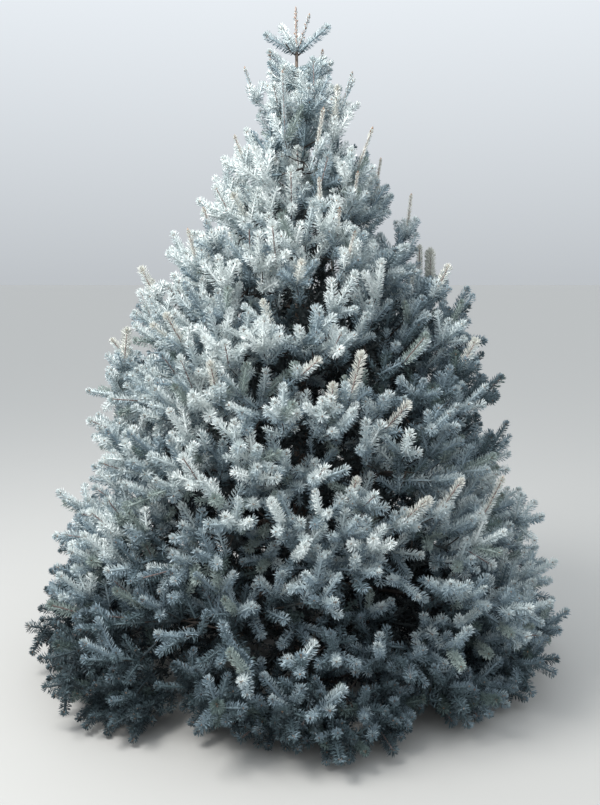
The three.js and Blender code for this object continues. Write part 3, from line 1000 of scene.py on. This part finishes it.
def tonesOfShoots():
    # painted light and shade: paler at the top and on the left, deeper low down, on the right and inside,
    # with random tone besides
    tips = shootRoots + shootWays * shootLengths[:, None]
    height = tips[:, 2] / tree["height"]
    x = tips[:, 0] / 1000
    # painted light and shade by how far a shoot stands to the left or right
    paintedRightShade = x * np.interp(height, *zip(*paintedShadeRightwards))
    paintedLeftShade = -x * np.interp(height, *zip(*paintedShadeLeftwards))
    sideways = np.where(x > 0, paintedRightShade, paintedLeftShade)
    inner = np.isin(shootKinds, ["inner", "innerRing"])
    fill = shootKinds == "fill"
    deep = shootKinds == "deep"
    # painted shade, deeper for shoots that grow further in
    paintedDepthShades = [toning["inner"], toning["fill"], toning["deep"]]
    outside = np.select([inner, fill, deep], paintedDepthShades, toning["outer"])
    paintedHeightShade = np.interp(height, *zip(*paintedShadeByHeight))
    # painted shade keeps the gaps dark further up, where more light gets in
    paintedGapShade = (fill | deep) * np.interp(height, *toning["paintedGapShade"])
    place = paintedHeightShade + sideways + outside + paintedGapShade - shootPaintedLight + rng.normal(0, toning["scatter"], len(shoots))
    tone = np.clip(np.round(place), 0, darkest).astype(int)
    # cream young shoots, more of them higher up and where the sides are painted paler
    cream = rng.random(len(shoots)) < 0.2 * height - 0.05 * sideways
    cream &= (shootKinds == "tip") & (height > toning["cream"][0]) & (height < toning["cream"][1])
    tone[cream] = toneNames.index("cream")
    green = rng.random(len(shoots)) < toning["greenShare"]
    green &= (height < toning["greenBelow"]) & (tone > 0) & (tone <= darkest)
    greens = np.where(tone > toning["greenShadedAbove"], toneNames.index("shadedGreen"), toneNames.index("green"))
    tone = np.where(green, greens, tone)
    # painted shade: deep shoots in the crown's inside, below where one sees in, take the dark inner tone
    outline = np.array([crownRadius(z) for z in tips[:, 2]])
    depth = np.hypot(tips[:, 0], tips[:, 1]) / np.maximum(outline, 1)
    inside = deep & (depth < fineTwigs["insideShare"]) & (tips[:, 2] < fineTwigs["openAbove"])
    tone[inside] = toneNames.index("inner")
    tone[np.isin(shootKinds, ["upright", "spire"])] = toneNames.index("cream")
    tone[np.isin(shootKinds, slimKinds) & (tips[:, 2] > toning["silverAbove"])] = toneNames.index("silver")
    return tone


shootTones = tonesOfShoots()


def needleArrays(index, fine):
    # folded kites on the leading shoots and plain blades on the others, turned round each by the golden angle
    perMm = np.array([needles["perMm"][kind] for kind in shootKinds[index]])
    counts = np.maximum(needles["fewest"], np.round(shootLengths[index] * perMm)).astype(int)
    owner = np.repeat(index, counts)
    step = np.concatenate([np.arange(count) for count in counts])
    share = (step + rng.random(len(step))) / np.repeat(counts, counts)
    # the last needles stand round the bud and close the shoot with a blunt end
    dome = np.clip((share - 1 + needles["domeShare"]) / needles["domeShare"], 0, 1)
    along = np.where(dome > 0, 0.94 + 0.06 * dome, 0.02 + 0.92 * share / (1 - needles["domeShare"]))
    way, side, over = shootFrames(owner)
    spin = step * needles["goldenAngle"] + rng.uniform(0, 0.6, len(step))
    out = side * np.cos(spin)[:, None] + over * np.sin(spin)[:, None]
    first, last = needles["angle"]
    domeFirst, domeLast = needles["dome"]
    angle = np.where(dome > 0, domeFirst + (domeLast - domeFirst) * dome, first + (last - first) * along)
    slim = np.where(np.isin(shootKinds[owner], slimKinds), needles["slim"], 1.0)
    angle = np.radians(angle * slim) + rng.normal(0, 0.1, len(step))
    lean = unit(way * np.cos(angle)[:, None] + out * np.sin(angle)[:, None] + up * needles["upBias"])
    tangent = unit(np.cross(lean, out) + side * 1e-3)
    roll = rng.uniform(0, math.pi, len(step))
    across = tangent * np.cos(roll)[:, None] + np.cross(tangent, lean) * np.sin(roll)[:, None]
    face = np.cross(across, lean)
    length = needles["length"] * plumpness[owner] * slim * rng.uniform(0.82, 1.1, len(step))
    length *= (1 - 0.32 * dome) * (0.8 + 0.2 * np.clip(along * 8, 0, 1))
    if fine:
        width = needles["width"]
    else:
        width = np.array([needles["bladeWidth"][kind] for kind in shootKinds[owner]])[:, None]
    root = alongShoot(owner, along)
    tip = root + lean * length[:, None]
    half = across * width / 2
    if fine:
        middle = root + lean * (length * needles["widestAt"])[:, None]
        drop = face * (needles["fold"] * width)
        corners = np.stack([root, middle + half - drop, tip, middle - half - drop], axis=1)
        pattern = [[0, 1, 2], [0, 2, 3]]
    else:
        middle = root + lean * (length * needles["bladeWidestAt"])[:, None]
        corners = np.stack([root, middle + half, tip - half * 0.5], axis=1)
        pattern = [[0, 1, 2]]
    faces = np.arange(len(step))[:, None, None] * corners.shape[1] + np.array(pattern)
    # painted light: palest on a shoot's upper side and round its bud, with painted shade underneath and at
    # its foot; round the bud it also stands for the paler new growth
    tone = shootTones[owner]
    paintedLight = needles["paintedLight"]
    pale = (out[:, 2] > paintedLight["upper"]).astype(int) + (along > paintedLight["tip"])
    pale -= (out[:, 2] < paintedLight["under"]).astype(int) + (along < paintedLight["foot"])
    strong = (shootKinds[owner] == "tip") & (root[:, 2] < needles["strongPaintedLightBelow"])
    pale = np.minimum(pale, np.where(strong, 2, 1))
    # each needle's tone moves by its painted light or shade; cream needles in painted shade take the pale
    # tone
    tone = np.where(tone <= darkest, np.clip(tone - pale, 0, darkest), tone)
    tone = np.where((tone == toneNames.index("cream")) & (pale < 0), toneNames.index("pale"), tone)
    return corners.reshape(-1, 3), faces.reshape(-1, 3), np.repeat(tone, len(pattern))


def allNeedles(index):
    plain = np.isin(shootKinds[index], plainKinds)
    sorts = ((index[~plain], True), (index[plain], False))
    parts = [needleArrays(chosen, fine) for chosen, fine in sorts if len(chosen)]
    corners = np.concatenate([part[0] for part in parts])
    shifts = [0, len(parts[0][0])]
    faces = np.concatenate([part[1] + shift for part, shift in zip(parts, shifts)])
    return corners, faces, np.concatenate([part[2] for part in parts])


def keepAbove(corners):
    # nothing reaches into the ground
    corners[:, 2] = np.maximum(corners[:, 2], 1.0)
    return corners


def needleFacesOf(i):
    # about how many triangles a shoot's needles take
    sides = 1 if shootKinds[i] in plainKinds else 2
    return sides * max(needles["fewest"], shootLengths[i] * needles["perMm"][shootKinds[i]])


def groupMasses(limit):
    # masses that share one piece, so that each stays well under the most triangles a piece may have
    numbers = {place["name"]: [] for place in places}
    for i, shoot in enumerate(shoots):
        numbers[shoot["place"]["name"]].append(i)
    groups = [([], [])]
    size = 0
    for place in places:
        index = numbers[place["name"]]
        faces = sum(needleFacesOf(i) for i in index)
        if size + faces > limit:
            groups.append(([], []))
            size = 0
        groups[-1][0].append(place["name"])
        groups[-1][1].extend(index)
        size += faces
    return groups


needleFaces = 0
for number, (names, index) in enumerate(groupMasses(needles["mostFaces"])):
    corners, faces, tones = allNeedles(np.array(index))
    piece = meshPiece("needles_%02d" % (number + 1), keepAbove(corners), faces, tones, needleMaterials)
    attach(piece, "root")
    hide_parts(*names)
    needleFaces += len(faces)
print("needles:", needleFaces, "triangles")

shootStem = {
    "sides": 4,
    "innerSides": 3,
    "bareFrom": 1.14,  # stems of the plumpest shoots show their bark
    "thin": 0.55,  # of the radius, where the stem shows between the needles
    "rings": [(0.06, 4.4), (0.9, 4.4)],  # share of the length, and radius there
    "innerRings": [(0.0, 5.0), (0.75, 7.0)],
}


def shootStemArrays(index, sides, rings):
    way, side, over = shootFrames(index)
    loops = []
    plump = (shootKinds[index] == "tip") & (plumpness[index] > shootStem["bareFrom"])
    bare = np.isin(shootKinds[index], thinKinds) | plump
    thin = np.where(bare, shootStem["thin"], 1.0)[:, None]
    for t, radius in rings:
        centre = alongShoot(index, np.full(len(index), t))
        for i in range(sides):
            spin = i * 2 * math.pi / sides
            loops.append(centre + thin * radius * (side * math.cos(spin) + over * math.sin(spin)))
    loops.append(alongShoot(index, np.full(len(index), 1.0)))
    corners = np.stack(loops, axis=1)
    pattern = []
    for ring in range(len(rings) - 1):
        for i in range(sides):
            a, b = ring * sides + i, ring * sides + (i + 1) % sides
            pattern += [[a, b, b + sides], [a, b + sides, a + sides]]
    last = (len(rings) - 1) * sides
    for i in range(sides):
        pattern.append([last + i, last + (i + 1) % sides, last + sides])
    pattern = np.array(pattern)
    faces = (np.arange(len(index))[:, None, None] * corners.shape[1] + pattern).reshape(-1, 3)
    tones = np.where(bare, toneNames.index("youngBark"), shootTones[index])
    return corners.reshape(-1, 3), faces, np.repeat(tones, len(pattern))


for name, isInner, sides, rings in (
    ("shootStems", False, shootStem["sides"], shootStem["rings"]),
    ("innerStems", True, shootStem["innerSides"], shootStem["innerRings"]),
):
    index = np.nonzero(np.isin(shootKinds, ["fill", "deep"]) == isInner)[0]
    corners, faces, tones = shootStemArrays(index, sides, rings)
    piece = meshPiece(name, keepAbove(corners), faces, tones, needleMaterials, smooth=True)
    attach(piece, "root")
    print(name + ":", len(faces), "triangles")


def tubeArrays(paths, sides):
    allCorners, allFaces, first = [], [], 0
    for points, radii in paths:
        points = [Vector(p) for p in points]
        rings = []
        for i, point in enumerate(points):
            along = (points[min(i + 1, len(points) - 1)] - points[max(i - 1, 0)]).normalized()
            side, over = aroundWay(along)
            for k in range(sides):
                spin = k * 2 * math.pi / sides
                rings.append(point + side * radii[i] * math.cos(spin) + over * radii[i] * math.sin(spin))
        for i in range(len(points) - 1):
            for k in range(sides):
                a, b = first + i * sides + k, first + i * sides + (k + 1) % sides
                allFaces += [[a, b, b + sides], [a, b + sides, a + sides]]
        end = first + (len(points) - 1) * sides
        allFaces += [[end, end + 1 + k, end + 2 + k] for k in range(sides - 2)]
        allFaces += [[first, first + 2 + k, first + 1 + k] for k in range(sides - 2)]
        allCorners += rings
        first += len(rings)
    return np.array(allCorners), np.array(allFaces)


corners, faces = tubeArrays(twigPaths, 4)
piece = meshPiece("twigs", keepAbove(corners), faces, np.zeros(len(faces)), twigMaterials, smooth=True)
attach(piece, "root")
print("twigs:", len(faces), "triangles")

buds = {
    "length": 9.5,
    "width": 3.4,
    "widestAt": 0.35,
    "scatter": (0.85, 1.15),
    "onLeading": 1.4,  # of a tip bud's size, on the shoots that lead
    "sideShare": 0.75,
    "sideProud": 2.5,
    "upBare": 8,
    "bareProud": 3.5,
    "darkShare": 0.3,
}


def budArrays(centres, ways, scale):
    # pointed buds of eight faces
    side = unit(np.cross(ways, up) + np.array([1e-5, 0, 0]))
    over = np.cross(side, ways)
    length = buds["length"] * scale
    width = buds["width"] * scale
    middle = centres + ways * (length * buds["widestAt"])[:, None]
    parts = [centres, centres + ways * length[:, None]]
    for direction in (side, over, -side, -over):
        parts.append(middle + direction * width[:, None])
    corners = np.stack(parts, axis=1)
    pattern = []
    for i in range(4):
        a, b = 2 + i, 2 + (i + 1) % 4
        pattern += [[0, b, a], [a, b, 1]]
    faces = (np.arange(len(centres))[:, None, None] * 6 + np.array(pattern)).reshape(-1, 3)
    return corners.reshape(-1, 3), faces


tipped = np.nonzero(np.isin(shootKinds, ["tip", "ring", *thinKinds]))[0]
budTips = alongShoot(tipped, np.full(len(tipped), 1.0))
budWays = unit(shootWays[tipped] + up * 0.2)
leading = tipped[shootKinds[tipped] != "ring"]
sideRoots = alongShoot(leading, np.full(len(leading), 0.96))
way, side, over = shootFrames(leading)
centres = [budTips]
ways = [budWays]
larger = np.where(np.isin(shootKinds[tipped], thinKinds), buds["onLeading"], 1)
scales = [rng.uniform(*buds["scatter"], len(tipped)) * larger]
for spin in (0.6, 2.7, 4.6):
    out = side * math.cos(spin) + over * math.sin(spin)
    centres.append(sideRoots + out * buds["sideProud"])
    ways.append(unit(way * 0.8 + out * 0.7))
    scales.append(np.full(len(leading), buds["sideShare"]))
# more buds up the bare shoots at the top
bare = leading[np.isin(shootKinds[leading], ["sparse", "leader"])]
way, side, over = shootFrames(bare)
for i in range(buds["upBare"]):
    out = side * math.cos(2.4 * i) + over * math.sin(2.4 * i)
    at = np.full(len(bare), 0.25 + 0.68 * i / buds["upBare"])
    centres.append(alongShoot(bare, at) + out * buds["bareProud"])
    ways.append(unit(way * 0.8 + out * 0.6))
    scales.append(np.full(len(bare), 1.0))
corners, faces = budArrays(np.concatenate(centres), np.concatenate(ways), np.concatenate(scales))
tones = np.repeat((rng.random(len(faces) // 8) < buds["darkShare"]).astype(int), 8)
piece = meshPiece("buds", keepAbove(corners), faces, tones, budMaterials)
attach(piece, "root")
print("buds:", len(faces), "triangles")

trunk = {
    "sides": 20,
    "ringStep": 70,
    "knuckle": 1.12,  # swelling where a whorl of boughs leaves
    "knucklesBelow": 2300,
    "footRings": [14, 34, 66],
    "ribs": [(66, 0.05), (34, 0.06), (14, 0.06)],  # up to this height, and how far they swell
    "ribCount": 5,
    "tipRadius": 0.8,
    "barkDepth": 0.0035,
    "barkGrain": 0.012,
}
boughs = {
    "sides": 12,
    "root": 13,
    "end": 8.5,
    "steps": 12,
    "barkDepth": 0.002,
    "collar": 1.35,
}


def startTube(sides, radius, place, rotation=(0, 0, 0)):
    # a flat end, all of it selected, to draw out ring by ring
    bpy.ops.object.select_all(action="DESELECT")
    bpy.ops.mesh.primitive_circle_add(
        vertices=sides, radius=radius, fill_type="NGON", location=place, rotation=rotation
    )
    piece = bpy.context.object
    bpy.ops.object.transform_apply(location=True, rotation=True, scale=True)
    bpy.ops.object.mode_set(mode="EDIT")
    bpy.ops.mesh.select_mode(type="VERT")
    bpy.ops.mesh.select_all(action="SELECT")
    return piece


def finishTube():
    bpy.ops.mesh.select_all(action="SELECT")
    bpy.ops.mesh.normals_make_consistent(inside=False)
    bpy.ops.object.mode_set(mode="OBJECT")


def selectVertices(piece, wanted):
    bpy.ops.object.mode_set(mode="OBJECT")
    for vertex in piece.data.vertices:
        vertex.select = wanted(vertex.co)
    for edge in piece.data.edges:
        edge.select = all(piece.data.vertices[i].select for i in edge.vertices)
    for face in piece.data.polygons:
        face.select = all(piece.data.vertices[i].select for i in face.vertices)
    bpy.ops.object.mode_set(mode="EDIT")


def applyModifier(piece, kind, **settings):
    modifier = piece.modifiers.new(kind.lower(), kind)
    for name, value in settings.items():
        setattr(modifier, name, value)
    bpy.ops.object.modifier_apply(modifier=modifier.name)


def barkRelief(piece, depth, grain, name):
    # plates of bark from a small cell pattern
    cells = bpy.data.textures.new(name, "VORONOI")
    cells.noise_scale = grain
    cells.distance_metric = "DISTANCE"
    applyModifier(piece, "DISPLACE", texture=cells, texture_coords="LOCAL", strength=depth, mid_level=0.55)


def makeTrunk():
    piece = startTube(trunk["sides"], trunkRadius(0) * mm, (0, 0, 0))
    piece.name = "bark_trunk"
    heights = list(trunk["footRings"])
    while heights[-1] + trunk["ringStep"] < tree["height"] - 20:
        heights.append(heights[-1] + trunk["ringStep"])
    heights += [tree["height"] - 8, tree["height"] - 1]
    last, radius = 0, trunkRadius(0)
    for z in heights:
        # a knuckle at each whorl
        near = min(abs(z - tier["root"]) for tier in tiers) < trunk["ringStep"] / 2
        wanted = trunkRadius(z) * (trunk["knuckle"] if near and z < trunk["knucklesBelow"] else 1)
        if z > tree["height"] - 5:
            wanted = trunk["tipRadius"]
        step = ((trunkCentre(z) - trunkCentre(last)) * mm, 0, (z - last) * mm)
        bpy.ops.mesh.extrude_region_move(TRANSFORM_OT_translate={"value": step})
        share = wanted / radius
        bpy.ops.transform.resize(value=(share, share, 1), center_override=(trunkCentre(z) * mm, 0, z * mm))
        last, radius = z, wanted

    def onRib(co):
        return math.cos(trunk["ribCount"] * math.atan2(co.y, co.x)) > 0.6

    # root flare: ribs at the foot
    for limit, share in trunk["ribs"]:
        selectVertices(piece, lambda co: co.z < (limit + 2) * mm and onRib(co))
        bpy.ops.transform.resize(value=(1 + share, 1 + share, 1), center_override=(0, 0, 0))
    finishTube()
    applyModifier(piece, "SUBSURF", subdivision_type="SIMPLE", levels=2, render_levels=2)
    applyModifier(piece, "SMOOTH", factor=0.5, iterations=2)
    barkRelief(piece, trunk["barkDepth"], trunk["barkGrain"], "trunkBark")
    # the foot is cut flat at the ground
    bpy.ops.object.mode_set(mode="EDIT")
    selectVertices(piece, lambda co: co.z < 2.5 * mm)
    bpy.ops.transform.resize(value=(1, 1, 0), center_override=(0, 0, 0))
    bpy.ops.object.mode_set(mode="OBJECT")
    bpy.ops.object.shade_smooth()
    return piece


def makeBough(place):
    start = trunkRadius(place["tier"]["root"]) - 6
    stop = place["reach"] * whorls["boughShare"] - 0.3
    steps = boughs["steps"]
    points = [onAxis(place, start + (stop - start) * i / steps) * mm for i in range(steps + 1)]
    rotation = (points[1] - points[0]).to_track_quat("Z", "Y").to_euler()
    radius = boughs["root"] * boughs["collar"]
    piece = startTube(boughs["sides"], radius * mm, points[0], rotation)
    for i in range(1, steps + 1):
        wanted = between((boughs["root"], boughs["end"]), i / steps)
        bpy.ops.mesh.extrude_region_move(TRANSFORM_OT_translate={"value": points[i] - points[i - 1]})
        bpy.ops.transform.resize(value=(wanted / radius,) * 3, center_override=points[i])
        radius = wanted
    finishTube()
    return piece


def makeBoughs():
    limbs = [place for place in places if place["tier"]["index"] < whorls["withBoughs"]]
    pieces = [makeBough(place) for place in limbs]
    bpy.ops.object.select_all(action="DESELECT")
    for piece in pieces:
        piece.select_set(True)
    bpy.context.view_layer.objects.active = pieces[0]
    bpy.ops.object.join()
    piece = bpy.context.object
    piece.name = "bark_boughs"
    applyModifier(piece, "SUBSURF", subdivision_type="SIMPLE", levels=1, render_levels=1)
    barkRelief(piece, boughs["barkDepth"], trunk["barkGrain"], "boughBark")
    bpy.ops.object.shade_smooth()
    return piece, [place["name"].replace("foliage", "bough") for place in limbs]


class Socket:
    # wraps a node's output, so that sums on it add Math nodes

    def __init__(self, tree, out):
        self.tree = tree
        self.out = out

    def math(self, operation, other, flip=False):
        node = self.tree.nodes.new("ShaderNodeMath")
        node.operation = operation
        for i, value in enumerate((other, self) if flip else (self, other)):
            if isinstance(value, Socket):
                self.tree.links.new(value.out, node.inputs[i])
            else:
                node.inputs[i].default_value = value
        return Socket(self.tree, node.outputs[0])

    def __add__(self, other):
        return self.math("ADD", other)

    __radd__ = __add__

    def __sub__(self, other):
        return self.math("SUBTRACT", other)

    def __rsub__(self, other):
        return self.math("SUBTRACT", other, flip=True)

    def __mul__(self, other):
        return self.math("MULTIPLY", other)

    __rmul__ = __mul__


class Nodes:
    # adds nodes to a material or a world

    def __init__(self, owner):
        owner.use_nodes = True
        self.tree = owner.node_tree

    def node(self, kind, settings=None, out=0, **inputs):
        node = self.tree.nodes.new("ShaderNode" + kind)
        for name, value in (settings or {}).items():
            setattr(node, name, value)
        for name, value in inputs.items():
            self.feed(node.inputs[name], value)
        return Socket(self.tree, node.outputs[out])

    def feed(self, socket, value):
        if isinstance(value, Socket):
            self.tree.links.new(value.out, socket)
        else:
            socket.default_value = value

    def mix(self, factor, first, second):
        return self.node("Mix", {"data_type": "RGBA"}, "Result", Factor=factor, A=first, B=second)


def barkMaterial():
    material = bpy.data.materials.new("barkOfSpruce")
    bark = Nodes(material)
    shader = bark.tree.nodes["Principled BSDF"]
    place = bark.node("TexCoord", out="Object")
    stretched = bark.node("Mapping", Vector=place, Scale=(1, 1, 0.45))
    plates = bark.node("TexVoronoi", {"feature": "DISTANCE_TO_EDGE"}, Vector=stretched, Scale=85.0)
    speckle = bark.node("TexNoise", Vector=place, Scale=160.0, Detail=4.0)
    patches = bark.node("TexNoise", Vector=place, Scale=9.0, Detail=3.0)
    height = bark.node("SeparateXYZ", out="Z", Vector=place)
    crack = bark.node("MapRange", Value=plates, **{"From Min": 0.0, "From Max": 0.14})
    young = bark.node("MapRange", Value=height, **{"From Min": 2.32, "From Max": 2.37})
    old = bark.mix(patches, linear(104, 90, 80), linear(136, 124, 114))
    old = bark.mix(speckle * 0.5, old, linear(84, 66, 56))
    old = bark.mix(1 - crack, old, linear(46, 38, 34))
    bark.feed(shader.inputs["Base Color"], bark.mix(young, old, linear(158, 142, 134)))
    bark.feed(shader.inputs["Roughness"], 0.75 + speckle * 0.2)
    bump = bark.node("Bump", Height=crack * 0.6 + speckle * 0.4, Strength=0.5, Distance=0.004)
    bark.feed(shader.inputs["Normal"], bump)
    return material


barkOfSpruce = barkMaterial()
trunkPiece = makeTrunk()
boughPiece, boughNames = makeBoughs()
for piece, names in ((trunkPiece, ["trunk"]), (boughPiece, boughNames)):
    piece.data.materials.clear()
    piece.data.materials.append(barkOfSpruce)
    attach(piece, "root")
    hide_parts(*names)
    print(piece.name, len(piece.data.polygons), "faces")

camera = {"place": (0.0, -3.45, 1.5), "down": 8.0, "lens": 39.5}
bpy.ops.object.camera_add(location=camera["place"], rotation=(math.radians(90 - camera["down"]), 0, 0))
bpy.context.object.data.lens = camera["lens"]
bpy.context.scene.camera = bpy.context.object

studio = {
    "sky": (0.9, 0.95, 1.0),
    "zenith": 1.6,  # strength of the sky straight above
    "horizon": 0.58,
    "floor": (170, 169, 166),
}
keyLight = {
    "place": (-2.2, -1.5, 4.4),
    "target": (0, 0, 1.9),
    "size": 2.2,
    "power": 270,
    "colour": (1.0, 0.99, 0.97),
}
fillLight = {
    "place": (3.6, -3.0, 2.6),
    "target": (0, 0, 1.0),
    "size": 3.0,
    "power": 6,
    "colour": (0.9, 0.95, 1.0),
}
bpy.context.scene.view_settings.view_transform = "Standard"
world = bpy.data.worlds.new("studio")
sky = Nodes(world)
background = sky.tree.nodes["Background"]
sky.feed(background.inputs["Color"], (*studio["sky"], 1))
# soft light that is stronger from above
upward = sky.node("SeparateXYZ", out="Z", Vector=sky.node("TexCoord", out="Generated"))
fromHorizon = {"From Min": 0.0, "From Max": 0.9, "To Min": studio["horizon"], "To Max": studio["zenith"]}
sky.feed(background.inputs["Strength"], sky.node("MapRange", Value=upward, **fromHorizon))
bpy.context.scene.world = world


def softLight(name, place, target, size, power, colour):
    way = Vector(target) - Vector(place)
    bpy.ops.object.light_add(type="AREA", location=place, rotation=way.to_track_quat("-Z", "Y").to_euler())
    light = bpy.context.object
    light.name = name
    light.data.shape = "DISK"
    light.data.size = size
    light.data.energy = power
    light.data.color = colour


softLight("keyLight", **keyLight)
softLight("fillLight", **fillLight)

bpy.ops.mesh.primitive_plane_add(size=400, location=(0, 0, -0.001))
floor = bpy.context.object
floor.name = "floor"
floor.data.materials.append(plainMaterial("floor", studio["floor"], roughness=0.9))
